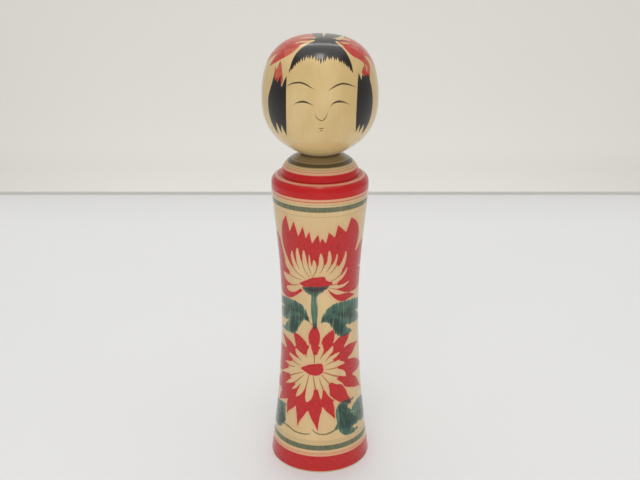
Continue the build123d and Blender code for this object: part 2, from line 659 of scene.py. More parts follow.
def body_material(lathe):
    """Bare waxed wood with the red and green dye of the rings and flowers, and painted shade on the collar
    under the head.
    """
    graph = Graph("painted_body")
    wobble = edge_wobble(graph, BODY_WOBBLE)
    streaks = graph.noise(*STREAKS)
    mottle = graph.noise(*RED_MOTTLE)
    patches = graph.noise(*LEAF_PATCHES)

    steady = graph.times(wobble, BODY_STEADY)
    stain = bands(graph, lathe, STAIN_RINGS, steady, STAIN_EDGE)
    red_rings = bands(graph, lathe, RED_RINGS, steady, RED_RING_EDGE)
    green_rings = bands(graph, lathe, GREEN_RINGS, steady, GREEN_RING_EDGE)
    green_rings = graph.times(green_rings, graph.ramp(streaks, *THIN_RING))
    # Collar rings: partly the collar's own rings, partly painted shade under the head.
    collar_rings_and_shade = bands(graph, lathe, COLLAR_RINGS_AND_SHADE, steady, RED_RING_EDGE)
    red = graph.larger(soaked(graph, graph.attribute("red"), wobble, DYE_EDGE), red_rings)
    veins = fine_drawing(graph, steady)

    depth = graph.attribute("green")
    dry = graph.ramp(streaks, *DRY_BRUSH)
    leaf = soaked(graph, depth, graph.add(wobble, dry), LEAF_EDGE)
    leaf = graph.times(leaf, graph.ramp(streaks, *THIN_LEAF))
    density = graph.ramp(graph.attribute("green_twice"), *TWICE_BRUSHED)
    density = graph.add(density, graph.ramp(depth, *LEAF_MIDDLE))
    density = graph.add(density, graph.ramp(streaks, *DARK_STREAKS))
    density = graph.add(density, graph.ramp(patches, *DARK_PATCHES))

    colour = graph.mix(BLUSH_SHARE, wood_colour(graph, BODY_GRAIN), WOOD_BLUSH)
    bleed = graph.ramp(graph.attribute("red"), *BLEED)
    colour = graph.mix(graph.larger(stain, bleed), colour, STAIN)
    raised = above(graph, GROUND_TOP, BLUR)
    colour = graph.mix(graph.times(veins, VEIN_SHARE), colour, graph.mix(raised, OLIVE, VEIN))
    red_tone = graph.mix(graph.ramp(mottle, *RED_TONES), RED, RED_DEEP)
    red_tone = graph.mix(above(graph, SHOULDER_DYE, SHOULDER_BLUR), red_tone, SHOULDER_RED)
    colour = graph.mix(red, colour, red_tone)
    leaf_tone = graph.mix(density, LEAF, LEAF_DEEP)
    over_red = graph.ramp(graph.attribute("red"), *OVER_RED)
    leaf_tone = graph.mix(over_red, leaf_tone, PLUM)
    colour = graph.mix(leaf, colour, leaf_tone)
    colour = graph.mix(green_rings, colour, RING_GREEN)
    # Collar rings and the painted shade under the head.
    colour = graph.mix(collar_rings_and_shade, colour, COLLAR_RING_AND_SHADE_TONE)
    graph.put(graph.shader.inputs["Base Color"], colour)

    dye = graph.larger(red, leaf)
    rough = graph.add(graph.ramp(mottle, *BODY_ROUGH), graph.times(dye, DYE_ROUGHNESS))
    wax(graph, rough, turned_surface(graph))
    return graph.material


def head_material():
    """Bare waxed wood with ink hair, red ribbons and a finely brushed face."""
    graph = Graph("painted_head")
    wobble = edge_wobble(graph, HEAD_WOBBLE)
    mottle = graph.noise(*RIBBON_MOTTLE)

    ink = soaked(graph, graph.attribute("ink"), wobble, HAIR_EDGE)
    red = soaked(graph, graph.attribute("ribbon"), wobble, DYE_EDGE)
    thin = graph.ramp(graph.noise(*RIBBON_CLOUDS), *THIN_RIBBON)
    red = graph.times(red, thin)
    features = fine_drawing(graph, graph.times(wobble, FACE_STEADY))
    brow = above(graph, LIP_LINE, BLUR)

    colour = wood_colour(graph, HEAD_GRAIN)
    red_tone = graph.mix(graph.ramp(mottle, *RIBBON_TONES), RED, RED_DEEP)
    colour = graph.mix(red, colour, red_tone)
    colour = graph.mix(graph.times(features, FEATURE_SHARE), colour, graph.mix(brow, LIP, BROW))
    ink_tone = graph.mix(graph.ramp(graph.attribute("ink"), *INK_DEPTH), INK_EDGE, INK)
    colour = graph.mix(graph.times(ink, INK_SHARE), colour, ink_tone)
    graph.put(graph.shader.inputs["Base Color"], colour)

    rough = graph.math("SUBTRACT", graph.ramp(mottle, *HEAD_ROUGH), graph.times(ink, DYE_ROUGHNESS))
    wax(graph, rough, turned_surface(graph))
    return graph.material


# ---------------------------------------------------------------- body


PRONG_COUNT = 4
PRONG_CENTRE = 6.5
PRONG_LENGTH = 5.0
PRONG_WIDTH = 1.2
PRONG_DEPTH = 1.5
PRONG_OUTER = 9.9
PRONG_SLOPE = 0.35
PRONG_RIM = 0.3
ON_FLOOR = 1e-6
BODY_OUTLINE = [
    (26.5, 16.3), (23.75, 43.3), (22.1, 70), (21.6, 93), (22.1, 113), (24.1, 138.7), (25.85, 157),
]
FOOT_SLOPE = (-0.124, 0.992)


def body_outline():
    """Outline from the middle of the base, up the outside and down into the socket."""
    flat = BASE_RADIUS - FOOT_ROUNDING
    side_points = [(BASE_RADIUS, FOOT_ROUNDING), *BODY_OUTLINE, SHOULDER]
    rounding = (SHOULDER[0] - SHOULDER_ROUNDING, SHOULDER[1])
    collar_turn = math.degrees(math.acos(SEAT_RADIUS / COLLAR_RADIUS))
    bore = NECK_RADIUS + CLEARANCE
    tip = (TIP_RADIUS + CLEARANCE, TIP_HEIGHT)
    floor = TIP_HEIGHT - SOCKET_END_GAP
    mouth = (bore, SEAT_HEIGHT - MOUTH_CHAMFER)
    swell = (SWELL[0] + CLEARANCE, SEAT_HEIGHT - SWELL[1])
    return joined(
        line((0, 0), (PRONG_OUTER, 0), PRONG_STEP),
        line((PRONG_OUTER, 0), (flat, 0), BASE_STEP),
        arc((flat, FOOT_ROUNDING), (FOOT_ROUNDING, FOOT_ROUNDING), 270, 360, FOOT_PLACES),
        natural_spline(side_points, SIDE_STEP, FOOT_SLOPE, (0, 1)),
        arc(rounding, (SHOULDER_ROUNDING, SHOULDER_ROUNDING), 0, 90, ROUNDING_PLACES),
        line((rounding[0], LEDGE_HEIGHT), (COLLAR_RADIUS, LEDGE_HEIGHT), LEDGE_STEP),
        arc((0, LEDGE_HEIGHT), (COLLAR_RADIUS, COLLAR_RISE), 0, collar_turn, COLLAR_PLACES),
        line((SEAT_RADIUS, SEAT_HEIGHT), (bore + MOUTH_CHAMFER, SEAT_HEIGHT), SEAT_STEP),
        line((bore + MOUTH_CHAMFER, SEAT_HEIGHT), mouth, SEAT_STEP),
        spline([mouth, swell, tip], TENON_STEPS),
        line(tip, (tip[0], floor), BORE_STEP),
        line((tip[0], floor), (0, floor), FLOOR_STEP),
    )


def press_prongs(lathe):
    """Pushes the chuck's prong marks up into the underside."""
    under = (lathe.height < ON_FLOOR) & (lathe.radius < PRONG_OUTER - PRONG_RIM)
    x = lathe.points[:, 0]
    y = lathe.points[:, 1]
    mark = np.full(len(x), -FAR)
    for index in range(PRONG_COUNT):
        turn = 2 * math.pi * index / PRONG_COUNT
        out = x * math.cos(turn) + y * math.sin(turn) - PRONG_CENTRE
        side = y * math.cos(turn) - x * math.sin(turn)
        inside = np.minimum(PRONG_LENGTH / 2 - abs(out), PRONG_WIDTH / 2 - abs(side))
        mark = np.maximum(mark, inside)
    depth = PRONG_DEPTH * np.clip(mark / PRONG_SLOPE, 0, 1)
    lathe.points[under, 2] += depth[under]


UPPER_MASS = (
    [(-10, 116.5), (-15, 120.5), (-19.3, 126.5), (-21.8, 133), (-22.1, 138), (-20.6, 145.5), (-17.2, 151)],
    [(-15.7, 142), (-12.8, 148.7)], [(-10.8, 140.3), (-8.1, 146.5)], [(-6.9, 139.7), (-5, 144)],
    [(-3.9, 136.9), (-0.8, 142.6)], [(0.1, 137.5), (0.9, 140.3)], [(2.9, 137.2), (4.1, 143.6)],
    [(7.2, 140.2), (8.6, 147.2)], [(13.2, 142.3), (15.6, 150.3)],
    [(15.6, 150.3), (19.5, 147), (22.2, 142), (22.6, 137), (21.4, 131.5), (20.6, 129.3)],
    [(17, 118), (12, 113)], [(0, 114), (-10, 114)],
)
UPPER_RIGHT = (
    [(20.6, 129.3), (22.5, 130.2), (25, 132.6), (28.5, 134), (33, 131.5), (39, 124)],
    [(34, 120.3), (29, 118.9), (24.2, 119.2)], [(29, 117.4), (34, 115.6), (40, 110.5)],
    [(34, 108), (28, 106.4), (23, 105.6), (18, 106), (13, 107.4), (9, 109.5)], [(8, 113), (14, 121)],
)
UPPER_LEFT = (
    [(-22.4, 128.5), (-23.7, 133), (-25, 136.4), (-27.5, 138.6), (-32, 135), (-39, 126)],
    [(-34, 123), (-30, 121.5), (-27.5, 121)], [(-33, 119), (-41, 112)],
    [(-35, 106.5), (-30, 104), (-25, 102.6), (-20, 102.4), (-16, 104), (-10, 108.8)],
    [(-12, 113), (-19.5, 119.5)],
)
UPPER_DROOPS = [
    [(4.3, 110, 0.15), (6.5, 107.3, 0.7), (9.5, 105, 1.4), (13.5, 103.9, 2.3), (17.5, 103.9, 1.7),
     (21, 103.3, 0.7), (23.4, 102.9, 0.1)],
    [(-9.3, 109.2, 0.15), (-12, 107.3, 0.5), (-15, 105.4, 0.9), (-18.5, 104, 1.5), (-23, 103.6, 1.6),
     (-27, 104, 1.2)],
]
UPPER_CREAM = [
    [(-23.8, 141, 0.9), (-23.2, 135, 0.8), (-22.2, 129.5, 0.5), (-21, 125.5, 0.6), (-19.6, 122, 1.5),
     (-16.5, 119.2, 1.6), (-12.5, 117.2, 1), (-9.5, 116.2, 0.5)],
    [(-22.6, 115.2, 1.3), (-20.5, 114, 2.2), (-17, 113.3, 2.3), (-13.5, 113.4, 1.6), (-10, 114.4, 0.8)],
    [(-20.6, 107.9, 0.9), (-18.5, 107.9, 1.7), (-15.5, 108.6, 1.8), (-12.5, 110, 1.2), (-10, 110.8, 0.5)],
    [(-15.3, 130.8, 0.3), (-15.2, 127.5, 1), (-14.1, 123.5, 1.2), (-11.5, 119.8, 1.2), (-8.5, 117, 0.7)],
    [(-11.8, 133, 0.5), (-11.8, 129.5, 1.05), (-11.1, 125, 1.4), (-9.5, 121.5, 1.4), (-7, 118, 0.8)],
    [(-8.3, 132.4, 0.35), (-8.2, 129, 0.95), (-7.8, 125.5, 1.2), (-7, 122, 1.15), (-5.3, 118.3, 0.7)],
    [(-5.5, 130.3, 0.25), (-5.4, 127.5, 0.45), (-5.2, 124.5, 0.7), (-4.6, 121.5, 0.9), (-4.5, 118.5, 0.5)],
    [(-3.05, 126.9, 0.5), (-2.9, 125, 0.95), (-2.9, 122.5, 1.1), (-3.5, 119.8, 0.9), (-4.2, 118, 0.4)],
    [(0.4, 131, 0.4), (0.6, 128, 1.1), (0.5, 124.5, 1.3), (-0.5, 120.5, 1.4), (-2, 117.5, 1.2)],
    [(4.7, 132.4, 0.4), (4.9, 129, 0.95), (4.6, 126, 1.1), (3.2, 122.5, 1.2), (1, 118.8, 1.3)],
    [(8.8, 130.4, 0.25), (8.6, 128, 0.5), (7.9, 125.5, 0.75), (6.5, 122.8, 1), (3.4, 118.8, 1.3)],
    [(13.9, 130.8, 0.3), (13.6, 127.5, 0.9), (12.2, 123.5, 1.35), (9.5, 119.6, 1.6), (6, 116.8, 1.5),
     (3.5, 116, 1)],
    [(15.4, 121, 0.3), (14, 118.5, 0.75), (12, 116.3, 0.9), (9.5, 114.7, 0.85), (6.6, 113.6, 0.6)],
    [(17.6, 112.8, 0.2), (15.5, 111.8, 0.55), (13, 111, 0.85), (9.5, 110.9, 0.85), (5.5, 111.3, 0.6)],
    [(13.1, 107.3, 0.3), (11, 107.5, 0.9), (8.5, 108.4, 1), (6, 109.8, 0.7), (4.5, 110.6, 0.4)],
]
UPPER_CORE = (
    [(-15.5, 121.8), (-18.5, 116.8)], [(-17.5, 110.6), (-9, 110.4)], [(4, 110.4), (10, 109.4)],
    [(9.5, 112.7), (12.3, 119.3)], [(9, 124.2), (5.9, 124.6)], [(2.1, 124.5), (-1.5, 124)],
    [(-4.2, 124.5), (-6.2, 125)], [(-9.5, 126.3), (-12.8, 124.5)],
)
UPPER_VEINS = [
    [(-18.2, 126, 0.9), (-16.3, 122.8, 0.6), (-14.5, 120.5, 0.38), (-12, 118.3, 0.3), (-8.6, 116.4, 0.2)],
    [(-22, 119.6, 0.9), (-20, 117.7, 0.55), (-17.5, 116.3, 0.36), (-14, 115.4, 0.3), (-10.5, 115.2, 0.18)],
    [(-21.5, 110.6, 0.8), (-19, 110.5, 0.45), (-15.5, 110.8, 0.3), (-12.2, 111.7, 0.2)],
    [(-13.9, 129, 0.7), (-13.3, 126, 0.38), (-12.3, 123.3, 0.26), (-11.1, 120.8, 0.12)],
    [(-10.2, 131, 0.6), (-9.9, 128.5, 0.42), (-9.3, 125, 0.3), (-8.3, 121.5, 0.24), (-5.9, 117.5, 0.18)],
    [(-6.7, 129.5, 0.5), (-6.4, 126.5, 0.34), (-6, 123.5, 0.27), (-5.3, 121, 0.2), (-4.7, 118.8, 0.12)],
    [(-4.4, 127.5, 0.6), (-4.3, 125.3, 0.34), (-4.2, 123.8, 0.14)],
    [(-1.5, 127.5, 0.7), (-1.4, 125, 0.42), (-1.7, 122.5, 0.33), (-2.6, 119.8, 0.28), (-4.1, 117.5, 0.2)],
    [(2.6, 129, 0.8), (2.4, 126, 0.5), (1.8, 123.5, 0.34), (0.8, 121.3, 0.22), (-0.1, 119.8, 0.1)],
    [(6.9, 129, 0.7), (6.5, 126.5, 0.5), (5.6, 124, 0.34), (4.4, 122, 0.24), (3.3, 120.4, 0.12)],
    [(10.6, 128, 0.8), (9.7, 125.5, 0.52), (8.5, 123.2, 0.34), (6.8, 121, 0.24), (4.9, 118.9, 0.12)],
    [(14.2, 123.3, 0.7), (13.2, 120.8, 0.46), (11.5, 118.3, 0.34), (9, 116.2, 0.27), (5.9, 114.9, 0.18)],
    [(12, 113, 0.6), (9.5, 112.7, 0.38), (7, 112.5, 0.3), (5.3, 112.4, 0.18)],
    [(12.5, 109.3, 0.5), (10, 109.4, 0.38), (7.5, 110.1, 0.28), (5, 111, 0.18)],
]
UPPER_HEART = (
    [(-12.1, 112.7), (-9.5, 114.2), (-6.5, 115.8), (-4, 117.1), (-1, 117.5), (1.9, 117.8)],
    [(2.7, 117.2), (3.4, 115.6), (4.5, 114.9), (6.7, 114.2)],
    [(6.8, 113), (4, 112), (0, 111.2), (-5, 111), (-9, 111.2)],
)
CALYX = (
    [(-10, 110.9), (-6, 111.7), (-2, 112), (2, 112.1), (5.2, 112.4)],
    [(4.2, 110.6), (2, 109), (-0.5, 107.3), (-1.7, 106.2)],
    [(-4.5, 106.2), (-6.5, 107.3), (-8.5, 108.6), (-10, 110.2)],
)
UNDER_CALYX = (
    [(-9.6, 110.9), (-6, 111.4), (-2, 111.7), (2, 111.9), (4.8, 112.2)],
    [(3.6, 110.3), (1, 109.2), (-1, 108.6), (-4, 108.4), (-7, 109.2), (-9.6, 110.4)],
)
STEM = [
    (-3.3, 107.5, 1.5), (-3.4, 104, 1.75), (-3.3, 100, 1.85), (-3, 95, 1.7), (-2.9, 91.5, 1.4),
    (-2.8, 88.5, 1), (-2.8, 86.5, 0.5),
]
LEAVES = [
    [(-4.5, 88.8, 0.3), (-6.2, 91.2, 0.7), (-8.5, 94.5, 1.6), (-12, 97.8, 2.9), (-18, 98.6, 3.4),
     (-25, 98.2, 2.7), (-33, 96.5, 2), (-38, 95.5, 0.8)],
    [(-7.5, 92.8, 1.2), (-13, 93.4, 3.3), (-20, 92.5, 3.9), (-28, 90.8, 3.4), (-36, 89, 2)],
    [(-9.5, 92.5, 1), (-13.2, 90.3, 2.8), (-16.8, 87, 4.1), (-19.5, 84.4, 3.3), (-24.5, 82.2, 1.3),
     (-29.5, 81.6, 0.2)],
    [(0.5, 90.3, 0.5), (2.4, 93.2, 1.4), (5.4, 96.5, 2.4), (9.5, 98.2, 3.3), (15, 98, 3.5),
     (22, 97, 3.7), (30, 95, 3.1), (38, 92.5, 1.4)],
    [(2, 91.8, 1.1), (6, 92.8, 2.6), (11, 91.8, 4.2), (17, 91.3, 4.7), (24, 89.2, 3.4), (30, 86.8, 1.8),
     (36, 84.3, 0.5)],
    [(6.3, 91, 1.8), (9.5, 87.8, 2.9), (12.2, 84.8, 3.7), (15, 83.2, 2.8), (18.5, 82.4, 1.3),
     (21.2, 81.5, 0.2)],
    [(-20.5, 36.2, 0.8), (-23.5, 34, 2.6), (-28, 31.5, 4), (-34, 29, 3), (-39, 27, 1)],
    [(-20.5, 27, 1.2), (-23, 27, 3.2), (-27, 25.5, 4.5), (-32, 23.5, 4), (-37, 21.5, 1.5)],
    [(-21.5, 33, 1.4), (-22.6, 29, 3), (-24.5, 24.5, 3.4), (-26.6, 21.3, 1.9)],
    [(21, 40.8, 0.2), (16.5, 40, 1.4), (12.5, 38, 3.3), (10.8, 34, 2.7), (10.4, 30, 2)],
    [(12, 37, 2.5), (14, 32, 4.2), (14, 27, 5), (14.5, 23.2, 3.3), (18, 21.3, 1.6), (22, 21.2, 0.3)],
    [(8.3, 26, 1), (12, 27.5, 3), (17, 27.5, 3.5), (21, 26, 2)],
    [(18.5, 34, 1.2), (22, 34.5, 3.2), (27, 33, 5), (33, 30, 4.5), (38, 28, 2)],
    [(15, 30, 2.6), (20, 29, 3.2), (27, 26, 3), (32, 25, 2.2), (37, 24, 1)],
]
LEAF_POOLS = [
    [(-14.6, 90.5, 1.8), (-16, 87, 3.4), (-17, 84.4, 3.2)],
    [(-19, 97, 1.2), (-22, 94.5, 2.4), (-24, 91, 1.6)],
    [(7, 91.5, 1.6), (9.6, 88.4, 2.8), (11.4, 85, 3)],
    [(8, 96, 1), (14, 93.6, 1.8), (20, 91, 1.6)],
    [(13, 33, 0.8), (14, 29, 1.6), (14.4, 25.6, 1)],
]
GROUND = [
    [(-20.5, 24.6, 0.9), (-16.5, 24, 0.7), (-13.5, 22.9, 0.6), (-9, 22.5, 0.52), (-6, 22.9, 0.4),
     (-4.7, 23.4, 0.08)],
    [(-3.9, 26, 0.15), (-2.8, 24.8, 0.38), (-1, 23.6, 0.48), (2, 23.1, 0.54), (5, 23.9, 0.62),
     (7.5, 25.2, 0.8)],
]
LOWER_PETALS = [
    [(-2.6, 90.4, 0.1), (-2.9, 86.5, 1.8), (-3.2, 82, 3.3), (-3.2, 77.5, 2.6), (-3.2, 73, 0.9),
     (-3.1, 67, 0.25)],
    [(7.3, 85.3, 0.4), (6, 82.3, 2.3), (4.2, 79, 3.2), (2.6, 75.5, 1.5), (1.2, 72, 0.3)],
    [(17.6, 81, 0.8), (14.2, 78.8, 2.9), (10.5, 75.8, 3.2), (7.2, 72.5, 1), (4, 69, 0.2)],
    [(27.6, 72.6, 0.1), (23, 72.2, 1.5), (18.5, 71, 3.5), (13, 69.3, 3.6), (9, 68, 1.2)],
    [(34, 56.3, 0.2), (29, 57.8, 1.6), (23.5, 59.6, 3.8), (17, 61, 4.6), (12, 61.5, 1.5)],
    [(28.8, 43.7, 0.1), (25.3, 47, 1.4), (20.8, 50.3, 3.2), (15.5, 53.3, 3.6), (10.5, 56, 1.5)],
    [(17.9, 38, 0.2), (15.4, 41.3, 1.9), (11.5, 45.6, 4), (8.4, 49.8, 3.3), (6.2, 53, 1)],
    [(7.7, 31.8, 0.1), (6.3, 35.6, 1.3), (4.5, 40, 2.8), (2.6, 45, 2.5), (1.6, 49, 0.8)],
    [(-1.1, 25.4, 0.1), (-1.9, 30, 1.2), (-2.6, 35, 2.7), (-2.6, 40, 3.7), (-2.5, 45, 2.2), (-2.7, 50, 0.5)],
    [(-11.6, 26.6, 0.1), (-11.2, 30.5, 0.9), (-10.3, 35, 2.4), (-9.5, 40, 3.6), (-9, 45, 2),
     (-8.4, 50, 0.5)],
    [(-19, 31.6, 0.1), (-18.2, 34.5, 1), (-16.6, 38.5, 2.7), (-14.3, 42.5, 3), (-12.8, 46, 1.5)],
    [(-28, 36.3, 0.3), (-25.5, 39, 1.6), (-21.5, 43, 3.3), (-17.5, 46.5, 3.1), (-14.5, 49, 1)],
    [(-38, 43.3, 0.2), (-31, 46.3, 2.7), (-24, 49, 3.3), (-19, 51.5, 1.5)],
    [(-40, 55.5, 0.3), (-33, 57, 3), (-27, 59, 4.2), (-22, 60.5, 2.5), (-18, 61.5, 0.6)],
    [(-40, 66, 0.3), (-33, 66.5, 3), (-27, 66.3, 4.6), (-21, 66, 4.2), (-16, 65.5, 1)],
    [(-27.2, 77.9, 0.2), (-23.5, 75.8, 1.7), (-19, 73, 3.1), (-15.5, 70.8, 2)],
    [(-15.6, 81.8, 0.5), (-13.2, 79.5, 2.4), (-10.5, 75.5, 3.6), (-9, 72, 2), (-7.7, 69.7, 0.3)],
]
LOWER_MASS = (
    [(-5.2, 76.8), (0.4, 76.2)], [(8.2, 77.9), (14, 75)], [(17.2, 66), (20.8, 55.6)],
    [(14.6, 49.6), (8.6, 43.2)], [(0.9, 40), (-6.8, 36.6)], [(-13.2, 39.4), (-20, 40.4)],
    [(-26.5, 43.4), (-29, 57.5)], [(-22, 71.5), (-14.3, 74.4)],
)
LOWER_CREAM = [
    [(-5.4, 77.2, 0.2), (-5.6, 74.5, 0.9), (-5.6, 71.5, 1.7), (-5, 68, 1.7), (-3.8, 64.5, 1.2)],
    [(0.9, 77.8, 0.2), (0.9, 75, 1), (0.3, 72, 1.6), (-0.6, 69, 1.6), (-1.5, 65.5, 1.3)],
    [(7.1, 75.8, 0.3), (6.2, 73.8, 1.1), (4.4, 71.5, 1.5), (2.3, 69, 1.5), (0, 66, 1.2)],
    [(11.2, 71.5, 0.2), (9, 70.3, 0.9), (6.6, 69, 1.1), (3.8, 67, 1.1), (1, 65.3, 0.9)],
    [(14.6, 64.2, 0.2), (11.5, 64.8, 1.3), (8, 64.5, 1.4), (4.5, 63.9, 1.2), (1.6, 63.3, 0.9)],
    [(11.3, 66.8, 0.3), (9.5, 65.9, 0.8), (7, 65.1, 0.9)],
    [(15.1, 55.9, 0.2), (13, 58.3, 1.6), (10, 59.8, 1.8), (6.5, 60.8, 1.4), (2.5, 61.6, 1)],
    [(16.6, 43.5, 0.5), (15, 47.8, 0.3), (13.4, 50.5, 0.3), (12, 52.4, 0.5), (9.3, 53.9, 1.2),
     (6.8, 55.9, 1.4), (4.2, 58.2, 1.2), (1.6, 60, 0.9)],
    [(9.4, 41.9, 0.35), (6.5, 44.5, 0.35), (4.8, 46.7, 0.45), (4, 49.5, 1.1), (3, 52.5, 1.5),
     (1.6, 56, 1.4), (0.2, 58.6, 1)],
    [(0.5, 45, 0.4), (0.3, 48.5, 1), (-0.3, 52, 1.15), (-1, 56, 1.1), (-1.5, 58.8, 0.9)],
    [(-6.9, 42.9, 0.7), (-6.1, 45.5, 1.8), (-5.5, 49, 2.1), (-5.4, 53, 1.9), (-4.9, 58, 1.3)],
    [(-13, 44.5, 0.4), (-11.5, 47, 1.3), (-9.9, 50, 1.5), (-8.7, 53, 1.3), (-7, 57.5, 1.1)],
    [(-16.1, 47.8, 0.2), (-14, 49.8, 0.8), (-12, 52, 1), (-10, 54.3, 1.1), (-7.9, 57.8, 1)],
    [(-21.2, 49.6, 0.2), (-18.5, 51.5, 0.9), (-15.5, 53.5, 1.2), (-12, 55.8, 1.1), (-8.6, 58.6, 1)],
    [(-37, 48.5, 0.35), (-31, 51.6, 0.35), (-25.5, 55, 0.5), (-22, 56.6, 1.1), (-18, 58.3, 1.4),
     (-14, 59.9, 1.3), (-10, 61.4, 1)],
    [(-22.2, 62.3, 0.4), (-19, 62.7, 0.95), (-15.5, 62.8, 1.1), (-11, 62.4, 0.9)],
    [(-18.6, 68.3, 0.7), (-16, 67.2, 1.25), (-12.5, 65.8, 1.4), (-8, 64.2, 1.1)],
    [(-14.2, 72.8, 0.4), (-12.8, 70.8, 1.4), (-10, 68.7, 1.8), (-7, 66, 1.5)],
]
LOWER_CORE = (
    [(-8, 71), (-3.1, 71.2)], [(1.4, 71.2), (5.4, 70.2)], [(7.8, 66.8), (10, 62.8)],
    [(10.6, 56.7), (5.1, 53.6)], [(2.2, 49.6), (-2.45, 50.4)], [(-8, 50.2), (-12, 50.8)],
    [(-15, 51.9), (-18.3, 55.2)], [(-20, 60.5), (-17, 65)],
)
LOWER_VEINS = [
    [(-8.3, 72.3, 0.7), (-7.9, 70.3, 0.35), (-7.5, 69.2, 0.12)],
    [(-3.2, 74, 0.8), (-3.1, 70, 0.42), (-3.1, 66.2, 0.25)],
    [(2.3, 73, 0.7), (1.3, 71, 0.38), (0.5, 69.5, 0.24), (0, 68.5, 0.1)],
    [(6.5, 71.5, 0.7), (5, 69.8, 0.38), (3.7, 68.2, 0.24), (2.7, 67, 0.1)],
    [(9, 67.4, 0.6), (6.5, 66.4, 0.34), (4.5, 65.6, 0.24), (3, 64.8, 0.1)],
    [(11.5, 63, 0.7), (9, 62.6, 0.45), (6.5, 62.4, 0.32), (4.5, 62.3, 0.2), (3, 62.2, 0.1)],
    [(12.5, 55.8, 0.9), (9.5, 57.3, 0.66), (6, 58.9, 0.48), (3, 60.3, 0.33), (1.8, 60.7, 0.2)],
    [(6, 52.4, 0.7), (4.6, 54.3, 0.4), (3, 56.3, 0.32), (1.5, 58.3, 0.24), (0.9, 59.1, 0.12)],
    [(3, 47.5, 0.8), (1.8, 50, 0.48), (0.8, 53, 0.34), (0.2, 55, 0.25), (-0.3, 57.2, 0.12)],
    [(-2.3, 48.5, 0.8), (-2.6, 51.5, 0.44), (-3.2, 55, 0.33), (-3.6, 58, 0.2)],
    [(-8.2, 48.5, 0.7), (-7.7, 51, 0.4), (-7, 54, 0.32), (-6.5, 56.5, 0.26), (-6, 59, 0.14)],
    [(-12.7, 49.4, 0.5), (-11.4, 51.6, 0.3), (-10.4, 52.8, 0.12)],
    [(-16, 50.8, 0.7), (-14.2, 52.6, 0.46), (-12.5, 54.4, 0.34), (-10.8, 56.3, 0.28), (-9, 58.2, 0.14)],
    [(-20, 54, 0.8), (-17, 56, 0.48), (-14, 57.7, 0.36), (-11.5, 59, 0.27), (-9.5, 59.8, 0.14)],
    [(-21.5, 60.2, 0.7), (-18, 61.1, 0.35), (-15, 61.8, 0.18)],
    [(-18.5, 65.3, 0.7), (-15.5, 64.7, 0.42), (-13, 64, 0.3), (-11, 63.6, 0.12)],
    [(-15.5, 69.8, 0.6), (-13.5, 68.8, 0.38), (-12, 67.6, 0.28), (-10.5, 66.8, 0.12)],
]
LOWER_HEART = (
    [(-11.3, 62), (-8.5, 63.8), (-5.5, 65.2), (-2, 65.9), (0.8, 66)],
    [(1.6, 64.8), (1.9, 62.5), (1.5, 60.8), (0.4, 59.6), (-0.8, 58.9)],
    [(-3, 58.6), (-5.5, 59), (-8, 60.3)],
)


def paint_flower(chart, petals, cream, core, heart):
    """Red petals with the bare inner petals and their core kept out, and a red heart."""
    kept = union([patch(chart, *core)] + [stroke(chart, path) for path in cream])
    return np.maximum(np.minimum(petals, -kept), patch(chart, *heart))


def paint_body(lathe, piece):
    """Stores the depth of each dye and the fine lines on the body."""
    chart = np.c_[lathe.turn * BODY_WRAP, lathe.height]
    outside = (lathe.run > lathe.first_run) & (lathe.run < lathe.last_run)
    chart = np.where(outside[:, None], chart, NOWHERE)
    upper = union(
        [patch(chart, *UPPER_MASS), patch(chart, *UPPER_RIGHT), patch(chart, *UPPER_LEFT)]
        + [stroke(chart, path) for path in UPPER_DROOPS]
    )
    lower = union([patch(chart, *LOWER_MASS)] + [stroke(chart, path) for path in LOWER_PETALS])
    red = np.maximum(
        paint_flower(chart, upper, UPPER_CREAM, UPPER_CORE, UPPER_HEART),
        paint_flower(chart, lower, LOWER_CREAM, LOWER_CORE, LOWER_HEART),
    )
    red = np.maximum(red, patch(chart, *UNDER_CALYX))
    greens = [stroke(chart, path) for path in LEAVES + LEAF_POOLS + [STEM]]
    greens.append(patch(chart, *CALYX))
    store(piece, "along", lathe.run)
    store(piece, "red", red)
    store(piece, "green", union(greens))
    store(piece, "green_twice", second(greens))
    store_lines(piece, "line_a", chart, UPPER_VEINS[::2] + LOWER_VEINS[::2] + GROUND)
    store_lines(piece, "line_b", chart, UPPER_VEINS[1::2] + LOWER_VEINS[1::2])


def run_at(lathe, radius, height):
    """Length along the outline at its point nearest to a radius and height."""
    gap = np.hypot(lathe.outline[:, 0] - radius, lathe.outline[:, 1] - height)
    return lathe.along[gap.argmin()]


def make_body():
    """Body with its paint."""
    lathe = Lathe("body_wood", body_outline(), columns(*BODY_COLUMNS))
    lathe.first_run = run_at(lathe, BASE_RADIUS, FOOT_ROUNDING)
    lathe.last_run = run_at(lathe, SEAT_RADIUS, SEAT_HEIGHT)
    press_prongs(lathe)
    piece = lathe.build("body", "body")
    paint_body(lathe, piece)
    piece.data.materials.append(body_material(lathe))


# ---------------------------------------------------------------- head

CHIN_HEIGHT = 178.2
HEAD_OUTLINE = [
    (12, 181.5), (21.5, 187.6), (28.8, 198.4), (30.5, 209.8), (29.5, 221.5), (25.5, 231.7),
    (18, 238.6), (8.5, 241.6),
]


